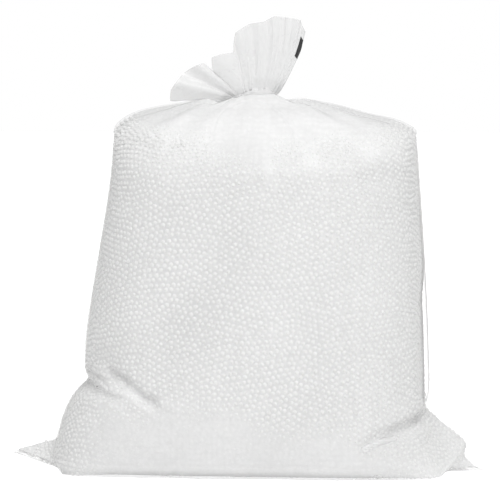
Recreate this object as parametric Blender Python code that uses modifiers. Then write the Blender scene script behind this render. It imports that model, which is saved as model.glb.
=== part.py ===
"""Clear film bag of loose-fill beads, gathered at the neck and standing on its welded bottom edge.

Metres, +Z up, origin on the floor at the middle of the footprint's box.
+X runs along the bottom weld, from one ear to the other, and -Y is the front panel.

The film is one loft of rings. Each ring is a closed section with 64 columns: column 0 lies on the
right crease, 16 on the front panel's middle, 32 on the left crease and 48 on the back's middle.
"""

import math

import bpy
import numpy as np

OBJECT_NAME = "loose_fill_bag"

# The film, and how near to it the beads and the tie lie
FILM_WALL = 0.0007
FILL_GAP = 0.0004
FOLD_SETBACK = 0.010
FOLD_RISE = 0.003
TIE_GAP = 0.0003
TIE_THICKNESS = 0.0030

# The bottom weld and its two ears
EAR_SPAN = 0.524
EAR_THICKNESS = 0.015
LEFT_EAR_LIFT = 0.014
RIGHT_EAR_LIFT = 0.001
WELD_Y = -0.012
LEFT_WELD_SWING = 0.042

# The foot that rests on the floor: its reach to either side of the middle
FOOT_LEFT = 0.208
FOOT_RIGHT = 0.226
FOOT_DEPTH = 0.200
FOOT_ROLL = 0.014

# The lower bulge, which stands out past the foot
BULGE_LEFT_OUT = 0.0035
BULGE_RIGHT_OUT = 0.0157
BULGE_HEIGHT = 0.032
BULGE_FRONT_OUT = 0.014

# The creases above it, where the film is folded in
CREASE_LEFT_HEIGHT = 0.101
CREASE_LEFT_IN = 0.0015
CREASE_RIGHT_HEIGHT = 0.073
CREASE_RIGHT_IN = 0.0035

# The body, up to the shoulder
BODY_LEFT = 0.180
BODY_RIGHT = 0.198
BODY_DEPTH = 0.272
SHOULDER_LEFT = 0.148
SHOULDER_RIGHT = 0.184
SHOULDER_DEPTH = 0.258
SHOULDER_HEIGHT = 0.356
SHOULDER_ROUND = 0.017
SHOULDER_SLOPE = 0.030
FRONT_DROP = 0.018

# The gathered neck, in a shallow hollow behind the rim that the shoulder's folds make
RIM_WIDTH = 0.110
RIM_DEPTH = 0.070
RIM_FRONT_RISE = 0.003
NECK_X = 0.006
NECK_DROP = 0.003
NECK_LENGTH = 0.008
NECK_WIDTH = 0.038
NECK_DEPTH = 0.026
HOLLOW_LIP = 0.010
HOLLOW_DIP = 0.001

# The tail above the neck, spread as a pleated fan
TAIL_TURN = 6.0
TAIL_BEND = 14.0
TAIL_MOUTH_DEPTH = 0.014
PLEAT_DEPTH = 0.0055
NECK_PLEAT_DEPTH = 0.0016
SHOULDER_PLEAT_DEPTH = 0.0050

# Heights that follow from these
SHOULDER_CORNER = SHOULDER_HEIGHT + SHOULDER_ROUND
SHOULDER_FRONT = SHOULDER_HEIGHT - FRONT_DROP
RIM_HEIGHT = SHOULDER_CORNER + SHOULDER_SLOPE
NECK_HEIGHT = RIM_HEIGHT - NECK_DROP

# Columns round the bag, and the rings that bound its stretches
COLUMNS = 64
QUARTER = COLUMNS // 4
HALF = COLUMNS // 2
PLEAT_COLUMNS = 4
WELD_RING = 0
FLOOR_RING = 3
BODY_RING = 10
SHOULDER_RING = 20
RIM_RING = 24
HOLLOW_RING = 25
NECK_BASE_RING = 26
NECK_RING = 27
MOUTH_RING = 33
FILL_RINGS = slice(1, 23)

# How far each ring on the floor lies from the weld, as a share of the way to the foot's edge
FLOOR_SPREAD = ((WELD_RING, 0.0), (1, 0.40), (2, 0.75), (FLOOR_RING, 1.0))

# How much of the left weld's swing towards the front each ring takes
SWING_FADE = ((WELD_RING, 1.0), (1, 0.9), (2, 0.7), (FLOOR_RING, 0.4), (5, 0.0))

# How far out the sections' rounded ends lie below the body, apart from the ears
LEFT_CORNER = ((WELD_RING, FOOT_LEFT), (4, FOOT_LEFT + 0.001), (BODY_RING, BODY_LEFT))
RIGHT_CORNER = ((WELD_RING, FOOT_RIGHT), (FLOOR_RING, FOOT_RIGHT), (6, BODY_RIGHT + 0.004), (9, BODY_RIGHT))

# The sections' shape: superellipse power, then the share of a quarter in which a ring leaves its
# crease's height, then how much closer the columns stand near the crease
SQUARENESS = ((WELD_RING, 4.6), (4, 4.2), (BODY_RING, 2.8), (18, 2.9), (22, 2.4), (NECK_RING, 2.0))
SETTLE = ((WELD_RING, 0.24), (FLOOR_RING, 0.34), (7, 0.7), (BODY_RING, 1.0), (NECK_RING, 1.0))
CROWDING = ((WELD_RING, 1.3), (18, 1.2), (RIM_RING, 1.0), (NECK_RING, 1.0))
ON_FLOOR = ((WELD_RING, 1.0), (FLOOR_RING, 1.0), (6, 0.0))
EAR_SHARE = 0.24

# The fan's mouth, from its right edge to its left: share of the film, degrees up from +X, reach
FAN = (
    (0.000, 64, 0.083),
    (0.094, 69, 0.094),
    (0.312, 82, 0.093),
    (0.406, 87, 0.086),
    (0.500, 94, 0.084),
    (0.594, 103, 0.076),
    (0.656, 107, 0.055),
    (0.719, 128, 0.060),
    (0.750, 137, 0.046),
    (0.781, 136, 0.060),
    (0.906, 158, 0.070),
    (0.969, 171, 0.075),
    (1.000, 180, 0.074),
)

# Broad hollows of the front panel: middle along X, height, half sizes, depth
HOLLOWS = (
    (-0.020, 0.245, 0.030, 0.075, 0.0045),
    (-0.055, 0.335, 0.030, 0.018, 0.0050),
    (0.150, 0.325, 0.022, 0.014, 0.0060),
    (0.055, 0.140, 0.022, 0.025, 0.0030),
    (-0.150, 0.130, 0.020, 0.012, 0.0040),
)

# The grooves that run in from the side creases: outer end, run inwards, half width, depth
GROOVES = (
    ((-BODY_LEFT, CREASE_LEFT_HEIGHT - 0.002), (0.095, -0.021), 0.0080, 0.0100),
    ((BODY_RIGHT - 0.002, CREASE_RIGHT_HEIGHT - 0.009), (-0.081, -0.034), 0.0070, 0.0090),
)

FILM_COLOUR = (0.93, 0.94, 0.94, 1.0)
FILL_COLOUR = (0.95, 0.95, 0.94, 1.0)
TIE_COLOUR = (0.90, 0.90, 0.89, 1.0)


def clear_scene():
    """Empties the scene, so that the script can be run again."""
    for thing in list(bpy.data.objects):
        bpy.data.objects.remove(thing, do_unlink=True)


def through(stations, at):
    """A smooth curve through (place, value) stations that never overshoots one (monotone cubic)."""
    places, values = np.array(stations, float).T
    step = np.diff(places)
    slope = np.diff(values) / step
    turn = slope[:-1] * slope[1:] > 0
    weighted = 2 * slope[:-1] * slope[1:] / np.where(turn, slope[:-1] + slope[1:], 1.0)
    tangent = np.concatenate([slope[:1], np.where(turn, weighted, 0.0), slope[-1:]])
    at = np.asarray(at, float)
    k = np.clip(np.searchsorted(places, at, side="right") - 1, 0, len(step) - 1)
    s = np.clip((at - places[k]) / step[k], 0.0, 1.0)
    rise = values[k + 1] - values[k]
    lead = step[k] * tangent[k]
    follow = step[k] * tangent[k + 1]
    return values[k] + s * lead + s**2 * (3 * rise - 2 * lead - follow) + s**3 * (lead + follow - 2 * rise)


def neck_heights():
    """Stations for the height of every line from the hollow's floor to the top of the neck."""
    base = NECK_HEIGHT - NECK_LENGTH / 2
    return (
        (HOLLOW_RING, base - HOLLOW_DIP),
        (NECK_BASE_RING, base),
        (NECK_RING, base + NECK_LENGTH),
    )


def neck_reaches(rim, neck):
    """Stations for how far out the rim, the hollow's floor and the neck lie."""
    return (
        (RIM_RING, rim),
        (HOLLOW_RING, neck + HOLLOW_LIP),
        (NECK_BASE_RING, neck),
        (NECK_RING, neck),
    )


def left_crease():
    """The left crease's stations, from the ear's tip to the neck: its reach, then its height."""
    bulge = FOOT_LEFT + BULGE_LEFT_OUT
    reach = (
        (WELD_RING, EAR_SPAN / 2),
        (1, EAR_SPAN / 2 - 0.012),
        (2, bulge + 0.022),
        (FLOOR_RING, bulge + 0.006),
        (4, bulge),
        (5, bulge - 0.001),
        (7, bulge - 0.011),
        (8, BODY_LEFT - CREASE_LEFT_IN + 0.012),
        (9, BODY_LEFT - CREASE_LEFT_IN),
        (BODY_RING, BODY_LEFT),
        (SHOULDER_RING - 1, SHOULDER_LEFT),
        (SHOULDER_RING, SHOULDER_LEFT),
        (21, SHOULDER_LEFT - 0.020),
        (22, SHOULDER_LEFT - 0.044),
        *neck_reaches(RIM_WIDTH / 2 - NECK_X, NECK_WIDTH / 2 - NECK_X),
    )
    height = (
        (WELD_RING, LEFT_EAR_LIFT),
        (1, LEFT_EAR_LIFT + 0.007),
        (2, BULGE_HEIGHT - 0.005),
        (4, BULGE_HEIGHT + 0.002),
        (6, BULGE_HEIGHT + 0.028),
        (9, CREASE_LEFT_HEIGHT),
        (BODY_RING, CREASE_LEFT_HEIGHT + 0.016),
        (SHOULDER_RING - 1, SHOULDER_HEIGHT),
        (SHOULDER_RING, SHOULDER_CORNER),
        (21, SHOULDER_CORNER + 0.016),
        (22, RIM_HEIGHT - 0.008),
        (23, RIM_HEIGHT - 0.004),
        (RIM_RING, RIM_HEIGHT),
        *neck_heights(),
    )
    return reach, height


def right_crease():
    """The right crease's stations, from the ear's tip to the neck: its reach, then its height."""
    bulge = FOOT_RIGHT + BULGE_RIGHT_OUT
    reach = (
        (WELD_RING, EAR_SPAN / 2),
        (1, bulge + 0.008),
        (2, bulge - 0.002),
        (FLOOR_RING, bulge),
        (4, bulge - 0.005),
        (6, BODY_RIGHT - CREASE_RIGHT_IN + 0.013),
        (7, BODY_RIGHT - CREASE_RIGHT_IN),
        (9, BODY_RIGHT),
        (11, BODY_RIGHT - 0.001),
        (SHOULDER_RING - 1, SHOULDER_RIGHT),
        (SHOULDER_RING, SHOULDER_RIGHT - 0.001),
        (21, SHOULDER_RIGHT - 0.021),
        (22, SHOULDER_RIGHT - 0.054),
        *neck_reaches(RIM_WIDTH / 2 + NECK_X, NECK_WIDTH / 2 + NECK_X),
    )
    height = (
        (WELD_RING, RIGHT_EAR_LIFT),
        (1, RIGHT_EAR_LIFT + 0.007),
        (FLOOR_RING, BULGE_HEIGHT - 0.003),
        (4, BULGE_HEIGHT + 0.004),
        (7, CREASE_RIGHT_HEIGHT),
        (9, CREASE_RIGHT_HEIGHT + 0.024),
        (SHOULDER_RING - 1, SHOULDER_HEIGHT),
        (SHOULDER_RING, SHOULDER_CORNER - 0.003),
        (21, SHOULDER_CORNER + 0.009),
        (22, RIM_HEIGHT - 0.014),
        (23, RIM_HEIGHT - 0.005),
        (RIM_RING, RIM_HEIGHT),
        *neck_heights(),
    )
    return reach, height


def crease_line(side, rings):
    """The side crease as (x, y, z) at each ring."""
    sign, (reach, height) = (-1, left_crease()) if side == "left" else (1, right_crease())
    sideways = ((WELD_RING, WELD_Y), (FLOOR_RING, 0.4 * WELD_Y), (BODY_RING, 0.0), (NECK_RING, 0.0))
    return np.stack([
        sign * through(reach, rings),
        through(sideways, rings),
        through(height, rings),
    ], axis=-1)


def panel_line(side, rings):
    """The middle of the front or back panel, from the weld under the bag to the neck, as (y, z)."""
    foot = FOOT_DEPTH / 2
    body = BODY_DEPTH / 2
    shoulder = SHOULDER_DEPTH / 2
    sign, rise = (-1, RIM_FRONT_RISE) if side == "front" else (1, 0.0)
    reach = (
        (WELD_RING, sign * WELD_Y),
        *((ring, spread * foot) for ring, spread in FLOOR_SPREAD[1:]),
        (4, foot + BULGE_FRONT_OUT),
        (5, body - 0.006),
        (7, body),
        (BODY_RING, body),
        (15, body - 0.002),
        (18, shoulder),
        (19, shoulder - 0.009),
        (21, shoulder - 0.044),
        *neck_reaches(RIM_DEPTH / 2, NECK_DEPTH / 2),
    )
    height = (
        (WELD_RING, 0.0),
        (FLOOR_RING, 0.0),
        (4, 0.006),
        (5, 0.018),
        (6, BULGE_HEIGHT + 0.002),
        (BODY_RING, 0.108),
        (18, SHOULDER_FRONT - 0.012),
        (19, SHOULDER_FRONT + 0.004),
        (SHOULDER_RING, SHOULDER_FRONT + 0.018),
        (22, RIM_HEIGHT - 0.020),
        (RIM_RING, RIM_HEIGHT + rise),
        *neck_heights(),
    )
    return np.stack([sign * through(reach, rings), through(height, rings)], axis=-1)


def quarter_shares(squareness, across, deep, crowding):
    """(cosine share, sine share) of a superellipse's quarter at columns spaced along its length."""
    turn = np.linspace(0.0, math.pi / 2, 400)
    c = np.cos(turn) ** (2 / squareness)
    s = np.sin(turn) ** (2 / squareness)
    c[-1] = 0.0
    length = np.concatenate([[0.0], np.cumsum(np.hypot(np.diff(across * c), np.diff(deep * s)))])
    share = (np.arange(QUARTER + 1) / QUARTER) ** crowding
    at = share * length[-1]
    return share, np.interp(at, length, c), np.interp(at, length, s)


def quarter(ring, crease, panel, corner):
    """One quarter of a section, from the side crease to the panel's middle.

    The corner is how far out the section's rounded end lies. The crease stands out from it where
    there is an ear, and is drawn in where the film is folded. On the floor the section's ends roll
    up to the ear, and above it the height changes evenly from the crease to the panel.
    """
    side = math.copysign(1.0, crease[0])
    face = math.copysign(1.0, panel[0] - crease[1])
    across = corner - side * NECK_X
    share, c, s = quarter_shares(
        through(SQUARENESS, ring), across, abs(panel[0] - crease[1]), through(CROWDING, ring)
    )
    ear = abs(crease[0]) - corner
    pinch = np.clip(1 - share / EAR_SHARE, 0.0, 1.0)
    x = NECK_X + side * (across * c + ear * pinch)
    y = crease[1] + (panel[0] - crease[1]) * s
    if ear > 0:
        thickness = EAR_THICKNESS if ring > WELD_RING else 0.0
        leaf = crease[1] + face * thickness / 2 * np.minimum(1.0, share / 0.05)
        y += (leaf - y) * pinch**0.8 * min(1.0, ear / 0.02)
    if side < 0:
        swing = LEFT_WELD_SWING * through(SWING_FADE, ring)
        y -= swing * np.sin(math.pi * np.minimum(1.0, share / 0.50)) * s**0.5
    even = 1 - np.clip(1 - share / through(SETTLE, ring), 0.0, 1.0) ** 2
    rolled = 1 - np.clip((np.abs(x) - corner + FOOT_ROLL) / (ear + FOOT_ROLL), 0.0, 1.0) ** 1.3
    on_floor = through(ON_FLOOR, ring)
    z = crease[2] + (panel[1] - crease[2]) * (on_floor * rolled + (1 - on_floor) * even)
    return np.stack([x, y, z], axis=-1)


def bag_rings():
    """The film's outer face up to the neck, as an array of rings, columns and (x, y, z)."""
    rings = np.arange(NECK_RING + 1)
    right, left = crease_line("right", rings), crease_line("left", rings)
    front, back = panel_line("front", rings), panel_line("back", rings)
    left_corner = np.where(
        rings < BODY_RING,
        through(LEFT_CORNER, rings),
        np.abs(left[:, 0]),
    )
    right_corner = np.where(
        rings < BODY_RING,
        through(RIGHT_CORNER, rings),
        np.abs(right[:, 0]),
    )
    grid = np.empty((len(rings), COLUMNS, 3))
    for ring in rings:
        right_front = quarter(ring, right[ring], front[ring], right_corner[ring])
        left_front = quarter(ring, left[ring], front[ring], left_corner[ring])
        left_back = quarter(ring, left[ring], back[ring], left_corner[ring])
        right_back = quarter(ring, right[ring], back[ring], right_corner[ring])
        grid[ring] = np.concatenate([right_front[:-1], left_front[:0:-1], left_back[:-1], right_back[:0:-1]])
    return grid


def pleat_wave():
    """+1 on a pleat's crest and -1 in its valley, column by column."""
    return np.cos(2 * math.pi * np.arange(COLUMNS) / PLEAT_COLUMNS)


def outward(grid):
    """Level unit vectors that point away from the middle of each ring."""
    away = grid - grid.mean(axis=1, keepdims=True)
    away[..., 2] = 0.0
    return away / np.maximum(np.linalg.norm(away, axis=-1, keepdims=True), 1e-9)


def add_gathers(grid):
    """Folds that run out from the neck over the shoulder and fade at its edge."""
    rings = np.arange(len(grid))
    wave = pleat_wave()
    rise = through(((WELD_RING, 0.0), (18, 0.0), (21, 0.6), (RIM_RING, 1.0), (NECK_RING, 0.0)), rings)
    grid[..., 2] += SHOULDER_PLEAT_DEPTH / 2 * rise[:, None] * wave
    tuck = through(((WELD_RING, 0.0), (22, 0.0), (RIM_RING, 0.6), (NECK_RING, 1.0)), rings)
    grid -= outward(grid) * (NECK_PLEAT_DEPTH * tuck[:, None] * (1 - wave) / 2)[..., None]


def press_in(grid):
    """Presses the broad hollows into the front panel and the grooves into both panels."""
    x, y, z = grid[..., 0], grid[..., 1], grid[..., 2]
    on_front = np.clip(-y / (0.3 * BODY_DEPTH), 0.0, 1.0)
    off_crease = np.clip(np.abs(y) / 0.05 - 0.1, 0.0, 1.0)
    press = np.zeros_like(x)
    for middle, height, half_x, half_z, depth in HOLLOWS:
        off = ((x - middle) / half_x) ** 2 + ((z - height) / half_z) ** 2
        press += depth * np.exp(-off) * on_front
    for outer, run, half_width, depth in GROOVES:
        share = ((x - outer[0]) * run[0] + (z - outer[1]) * run[1]) / np.dot(run, run)
        off = (z - outer[1] - share * run[1]) / half_width
        fade = np.clip(1.15 - share, 0.0, 1.0) * np.clip(1.5 + 4 * share, 0.0, 1.0)
        press += depth * fade * np.exp(-(off**2)) * off_crease
    off_floor = np.clip(z / 0.02, 0.0, 1.0)
    grid -= outward(grid) * (press * off_floor)[..., None]


def fan_rings(neck):
    """The tail, from the neck's ring to the fan's open mouth."""
    shares, angles, reaches = np.array(FAN, float).T
    column = np.arange(COLUMNS)
    share = np.where(column <= HALF, column, COLUMNS - column) / HALF
    angle = np.radians(np.interp(share, shares, angles))
    reach = np.interp(share, shares, reaches)
    face = np.where(column <= HALF, -1.0, 1.0) * np.sin(math.pi * share) ** 0.5
    depth = face * TAIL_MOUTH_DEPTH / 2 + pleat_wave() * PLEAT_DEPTH
    turn = math.radians(TAIL_TURN)
    right = np.array([math.cos(turn), math.sin(turn), 0.0])
    away = np.array([-math.sin(turn), math.cos(turn), 0.0])
    up = np.array([0.0, 0.0, 1.0])
    rings = []
    for ring in range(NECK_RING + 1, MOUTH_RING + 1):
        t = (ring - NECK_RING) / (MOUTH_RING - NECK_RING)
        opened = t**0.8
        lean = angle - math.radians(TAIL_BEND) * (1 - t) * (1 - share)
        ray = np.outer(np.cos(lean), right) + np.outer(np.sin(lean), up)
        start = neck * [1.0, 1 - opened, 1.0]
        rings.append(start + ray * (reach * t)[:, None] + np.outer(depth * opened, away))
    return np.array(rings)


def loft(name, grid, folded, capped):
    """Skins a stack of rings with triangles, outward.

    A folded stack starts at a weld, where its front and back columns are the same points. One
    that isn't folded gets a floor across its first ring, and a capped one a lid on its last.
    Returns the mesh and the index of each ring's points in it.
    """
    rings = len(grid)
    index = np.arange(rings * COLUMNS).reshape(rings, COLUMNS)
    if folded:
        index[0, HALF + 1 :] = index[0, HALF - 1 : 0 : -1]
    kept, index = np.unique(index, return_inverse=True)
    index = index.reshape(rings, COLUMNS)
    points = grid.reshape(-1, 3)[kept]
    low, high = index[:-1], index[1:]
    low_next, high_next = np.roll(low, -1, axis=1), np.roll(high, -1, axis=1)
    faces = [
        np.stack([low, high, high_next], axis=-1).reshape(-1, 3),
        np.stack([low, high_next, low_next], axis=-1).reshape(-1, 3),
    ]
    if not folded:
        front = index[0, : HALF + 1]
        back = index[0, -np.arange(HALF + 1)]
        faces.append(np.stack([front[:-1], front[1:], back[1:]], axis=-1)[:-1])
        faces.append(np.stack([front[:-1], back[1:], back[:-1]], axis=-1)[1:])
    if capped:
        points = np.vstack([points, [NECK_X, 0.0, grid[-1, :, 2].min()]])
        middle = np.full(COLUMNS, len(points) - 1)
        faces.append(np.stack([np.roll(index[-1], -1), index[-1], middle], axis=-1))
    data = bpy.data.meshes.new(name)
    data.from_pydata(points.tolist(), [], np.concatenate(faces).tolist())
    data.shade_smooth()
    return data, index


def material(name, colour, roughness, alpha=1.0):
    """A Principled material with the piece's colour, roughness and clearness."""
    made = bpy.data.materials.new(name)
    made.use_nodes = True
    surface = made.node_tree.nodes["Principled BSDF"]
    surface.inputs["Base Color"].default_value = colour
    surface.inputs["Roughness"].default_value = roughness
    surface.inputs["Metallic"].default_value = 0.0
    surface.inputs["Alpha"].default_value = alpha
    return made


def place(collection, name, data, finish):
    """Puts a mesh or curve in the collection as an object of its own."""
    piece = bpy.data.objects.new(name, data)
    data.materials.append(finish)
    collection.objects.link(piece)
    return piece


def film_bag(collection, grid):
    """The clear film, an open-mouthed skin with its wall inside. Returns its outer face's normals."""
    data, index = loft("film_bag", grid, folded=True, capped=False)
    bag = place(collection, "film_bag", data, material("clear_film", FILM_COLOUR, 0.2, 0.35))
    wall = bag.modifiers.new("Wall", "SOLIDIFY")
    wall.thickness = FILM_WALL
    wall.offset = -1.0
    normals = np.empty(len(data.vertices) * 3, np.float32)
    data.vertices.foreach_get("normal", normals)
    return normals.reshape(-1, 3)[index]


def bead_fill(collection, grid, normals):
    """The beads as one body that keeps clear of the film's inner face and of the weld's fold."""
    inner = (grid - normals * (FILM_WALL + FILL_GAP))[FILL_RINGS]
    lowest = inner[0]
    lowest[:, 0] *= 1 - FOLD_SETBACK / (EAR_SPAN / 2)
    lowest[:, 2] += FOLD_RISE * np.clip(1 - lowest[:, 2] / LEFT_EAR_LIFT, 0.0, 1.0)
    data, _ = loft("bead_fill", inner, folded=False, capped=True)
    place(collection, "bead_fill", data, material("foam_beads", FILL_COLOUR, 0.7))


def neck_tie(collection):
    """The plain band that holds the gathers together, round the crests of the neck's pleats."""
    clear = TIE_GAP + TIE_THICKNESS / 2
    curve = bpy.data.curves.new("neck_tie", "CURVE")
    curve.dimensions = "3D"
    curve.bevel_depth = TIE_THICKNESS / 2
    curve.bevel_resolution = 2
    path = curve.splines.new("POLY")
    path.points.add(HALF - 1)
    path.use_cyclic_u = True
    for point, angle in zip(path.points, np.linspace(0.0, 2 * math.pi, HALF, endpoint=False)):
        x = NECK_X + (NECK_WIDTH / 2 + clear) * math.cos(angle)
        y = (NECK_DEPTH / 2 + clear) * math.sin(angle)
        point.co = (x, y, NECK_HEIGHT, 1.0)
    place(collection, "neck_tie", curve, material("tie_band", TIE_COLOUR, 0.5))


def main():
    clear_scene()
    collection = bpy.data.collections.new(OBJECT_NAME)
    bpy.context.scene.collection.children.link(collection)
    body = bag_rings()
    add_gathers(body)
    press_in(body)
    grid = np.concatenate([body, fan_rings(body[NECK_RING])])
    normals = film_bag(collection, grid)
    bead_fill(collection, grid, normals)
    neck_tie(collection)


main()
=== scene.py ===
# %% [markdown]
# # A clear bag of foam beads
#
# This lesson dresses a plain model of a bag: a clear film bag full of white foam beads, gathered
# and tied at the neck, with the spare film fanned out above the tie. The solids give the sizes.
# The steps below give the film its folds, the beads their round shapes and both their finishes.

# %% Load the frame
import math

import bpy
import numpy as np
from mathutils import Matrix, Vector
from mathutils.bvhtree import BVHTree


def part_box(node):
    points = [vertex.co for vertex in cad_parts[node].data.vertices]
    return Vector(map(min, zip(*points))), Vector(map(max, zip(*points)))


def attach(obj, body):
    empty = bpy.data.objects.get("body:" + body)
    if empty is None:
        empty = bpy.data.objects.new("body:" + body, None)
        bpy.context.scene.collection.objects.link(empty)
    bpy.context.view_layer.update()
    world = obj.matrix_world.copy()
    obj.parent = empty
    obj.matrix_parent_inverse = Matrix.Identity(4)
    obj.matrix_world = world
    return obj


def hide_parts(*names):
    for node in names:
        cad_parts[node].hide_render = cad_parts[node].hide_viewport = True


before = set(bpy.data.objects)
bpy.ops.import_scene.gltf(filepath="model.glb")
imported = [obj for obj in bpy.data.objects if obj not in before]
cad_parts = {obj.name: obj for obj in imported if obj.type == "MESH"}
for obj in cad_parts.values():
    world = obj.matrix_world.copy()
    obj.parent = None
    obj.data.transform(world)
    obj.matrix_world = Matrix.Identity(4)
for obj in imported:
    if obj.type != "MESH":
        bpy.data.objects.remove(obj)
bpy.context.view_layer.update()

# %% [markdown]
# ## The sizes that the film follows
#
# The film is one loft. A loft needs a few lines that every section passes through: here the two
# side creases and the middles of the front and back panels. Each line is a smooth curve through a
# few stations, and the stations come from the named sizes below. They are the sizes of the solid
# bag, so the fine film lies where the solid does. The span, the depth and the neck are read from
# the solids' boxes.

# %% Sizes of the bag
low_corner, high_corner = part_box("film_bag")
tie_low, tie_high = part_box("neck_tie")

EAR_SPAN = high_corner.x - low_corner.x
BODY_DEPTH = high_corner.y - low_corner.y
NECK_X = (tie_low.x + tie_high.x) / 2
NECK_HEIGHT = (tie_low.z + tie_high.z) / 2
TIE_THICKNESS = tie_high.z - tie_low.z
TIE_GAP = 0.0003
NECK_WIDTH = tie_high.x - tie_low.x - 2 * (TIE_THICKNESS + TIE_GAP)
NECK_DEPTH = tie_high.y - tie_low.y - 2 * (TIE_THICKNESS + TIE_GAP)

EAR_THICKNESS = 0.015
LEFT_EAR_LIFT = 0.014
RIGHT_EAR_LIFT = 0.001
WELD_Y = -0.012
LEFT_WELD_SWING = 0.042

FOOT_LEFT = 0.208
FOOT_RIGHT = 0.226
FOOT_DEPTH = 0.200
FOOT_ROLL = 0.014

BULGE_LEFT_OUT = 0.0035
BULGE_RIGHT_OUT = 0.0157
BULGE_HEIGHT = 0.032
BULGE_FRONT_OUT = 0.014

CREASE_LEFT_HEIGHT = 0.101
CREASE_LEFT_IN = 0.0015
CREASE_RIGHT_HEIGHT = 0.073
CREASE_RIGHT_IN = 0.0035

BODY_LEFT = 0.180
BODY_RIGHT = 0.198
SHOULDER_LEFT = 0.148
SHOULDER_RIGHT = 0.184
SHOULDER_DEPTH = 0.258
SHOULDER_HEIGHT = 0.356
SHOULDER_CORNER = SHOULDER_HEIGHT + 0.017
SHOULDER_FRONT = SHOULDER_HEIGHT - 0.018

RIM_HEIGHT = NECK_HEIGHT + 0.003
RIM_WIDTH = 0.110
RIM_DEPTH = 0.070
RIM_FRONT_RISE = 0.003
NECK_LENGTH = 0.008
HOLLOW_LIP = 0.010
HOLLOW_DIP = 0.001

TAIL_TURN = 6.0
TAIL_BEND = 14.0
TAIL_MOUTH_DEPTH = 0.014
PLEAT_DEPTH = 0.0055
NECK_PLEAT_DEPTH = 0.0016
SHOULDER_PLEAT_DEPTH = 0.0050

print(f"ears span {EAR_SPAN:.3f} m, neck {NECK_WIDTH * 1000:.0f} x {NECK_DEPTH * 1000:.0f} mm")

# %% [markdown]
# ## Stations and rings
#
# Rings are numbered from the bottom weld (0) to the open mouth of the tail (33), and they may be
# fractions. Columns run once round the bag, from 0 at the right crease, past 16 at the front's
# middle, 32 at the left crease and 48 at the back's middle, and may be fractions too. So the whole
# film is a function of two numbers, and it can be drawn as finely as the eye needs.

# %% Rings, and the curve through stations
COLUMNS = 64
HALF = COLUMNS // 2
PLEAT_COLUMNS = 4
WELD_RING = 0
FLOOR_RING = 3
BODY_RING = 10
SHOULDER_RING = 20
RIM_RING = 24
HOLLOW_RING = 25
NECK_BASE_RING = 26
NECK_RING = 27
MOUTH_RING = 33

FLOOR_SPREAD = ((WELD_RING, 0.0), (1, 0.40), (2, 0.75), (FLOOR_RING, 1.0))
SWING_FADE = ((WELD_RING, 1.0), (1, 0.9), (2, 0.7), (FLOOR_RING, 0.4), (5, 0.0))
LEFT_CORNER = ((WELD_RING, FOOT_LEFT), (4, FOOT_LEFT + 0.001), (BODY_RING, BODY_LEFT))
RIGHT_CORNER = ((WELD_RING, FOOT_RIGHT), (FLOOR_RING, FOOT_RIGHT), (6, BODY_RIGHT + 0.004), (9, BODY_RIGHT))
SQUARENESS = ((WELD_RING, 4.6), (4, 4.2), (BODY_RING, 2.8), (18, 2.9), (22, 2.4), (NECK_RING, 2.0))
SETTLE = ((WELD_RING, 0.24), (FLOOR_RING, 0.34), (7, 0.7), (BODY_RING, 1.0), (NECK_RING, 1.0))
CROWDING = ((WELD_RING, 1.3), (18, 1.2), (RIM_RING, 1.0), (NECK_RING, 1.0))
ON_FLOOR = ((WELD_RING, 1.0), (FLOOR_RING, 1.0), (6, 0.0))
EAR_SHARE = 0.24
LEAF_EDGE_SHARE = 0.05
LEAF_FROM = 0.02
SWING_SHARE = 0.50


def through(stations, at):
    """A curve through (place, value) stations. Between two stations it is the cubic that meets both
    with their tangents, and a tangent is the harmonic mean of the slopes beside it, or level where
    they disagree, so the curve never overshoots."""
    places, values = np.array(stations, float).T
    step = np.diff(places)
    slope = np.diff(values) / step
    turn = slope[:-1] * slope[1:] > 0
    harmonic = 2 * slope[:-1] * slope[1:] / np.where(turn, slope[:-1] + slope[1:], 1.0)
    tangent = np.concatenate([slope[:1], np.where(turn, harmonic, 0.0), slope[-1:]])
    at = np.asarray(at, float)
    k = np.clip(np.searchsorted(places, at, side="right") - 1, 0, len(step) - 1)
    s = np.clip((at - places[k]) / step[k], 0.0, 1.0)
    rise = values[k + 1] - values[k]
    lead = step[k] * tangent[k]
    follow = step[k] * tangent[k + 1]
    return values[k] + s * lead + s**2 * (3 * rise - 2 * lead - follow) + s**3 * (lead + follow - 2 * rise)


# %% The side creases from the ears' tips to the rim: reach from the middle, then height
BULGE_LEFT = FOOT_LEFT + BULGE_LEFT_OUT
BULGE_RIGHT = FOOT_RIGHT + BULGE_RIGHT_OUT
LEFT_REACH = (
    (WELD_RING, EAR_SPAN / 2), (1, EAR_SPAN / 2 - 0.012), (2, BULGE_LEFT + 0.022),
    (FLOOR_RING, BULGE_LEFT + 0.006), (4, BULGE_LEFT), (5, BULGE_LEFT - 0.001), (7, BULGE_LEFT - 0.011),
    (8, BODY_LEFT - CREASE_LEFT_IN + 0.012), (9, BODY_LEFT - CREASE_LEFT_IN),
    (BODY_RING, BODY_LEFT), (SHOULDER_RING - 1, SHOULDER_LEFT), (SHOULDER_RING, SHOULDER_LEFT),
    (21, SHOULDER_LEFT - 0.020), (22, SHOULDER_LEFT - 0.044),
)
LEFT_HEIGHT = (
    (WELD_RING, LEFT_EAR_LIFT), (1, LEFT_EAR_LIFT + 0.007), (2, BULGE_HEIGHT - 0.005),
    (4, BULGE_HEIGHT + 0.002), (6, BULGE_HEIGHT + 0.028), (9, CREASE_LEFT_HEIGHT),
    (BODY_RING, CREASE_LEFT_HEIGHT + 0.016), (SHOULDER_RING - 1, SHOULDER_HEIGHT),
    (SHOULDER_RING, SHOULDER_CORNER), (21, SHOULDER_CORNER + 0.016),
    (22, RIM_HEIGHT - 0.008), (23, RIM_HEIGHT - 0.004), (RIM_RING, RIM_HEIGHT),
)
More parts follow.
